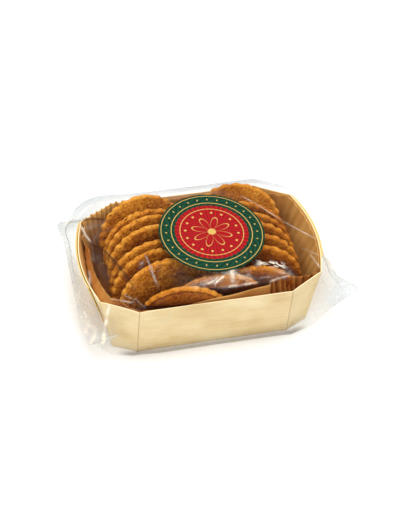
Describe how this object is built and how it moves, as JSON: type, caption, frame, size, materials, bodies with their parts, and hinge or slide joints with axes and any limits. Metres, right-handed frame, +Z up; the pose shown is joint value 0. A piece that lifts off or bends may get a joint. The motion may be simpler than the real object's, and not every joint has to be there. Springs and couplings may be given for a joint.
{
  "type": "pack of butter biscuits",
  "caption": "Octagonal wood-veneer tray with a pleated brown paper liner, leaning rows of round fluted butter biscuits, a clear film bag with end fins and a round sticker on top.",
  "frame": {"origin": "middle of the tray's under side, on the surface it stands on", "axes": "+Z up, +X along the tray's length towards the right end, -Y towards the front wall"},
  "size_m": [0.2128, 0.1269, 0.076],
  "materials": {
    "veneer": "bare sliced poplar",
    "veneer_lap": "bare sliced poplar",
    "brown_paper": "greaseproof, satin",
    "crust": "baked, granular",
    "clear_film": "clear, glossy",
    "sticker": "printed, satin"
  },
  "bodies": {
    "root": {"tray_base": "veneer", "tray_band": "veneer", "tray_lap_left": "veneer_lap", "tray_lap_right": "veneer_lap", "liner": "brown_paper", "film": "clear_film", "label": "sticker", "biscuit_left_1": "crust", "biscuit_left_2": "crust", "biscuit_left_3": "crust", "biscuit_left_4": "crust", "biscuit_left_5": "crust", "biscuit_left_6": "crust", "biscuit_left_7": "crust", "biscuit_right_1": "crust", "biscuit_right_2": "crust", "biscuit_right_3": "crust", "biscuit_right_4": "crust", "biscuit_right_5": "crust", "biscuit_right_6": "crust", "biscuit_right_7": "crust", "biscuit_front_1": "crust", "biscuit_front_2": "crust"}
  },
  "joints": []
}
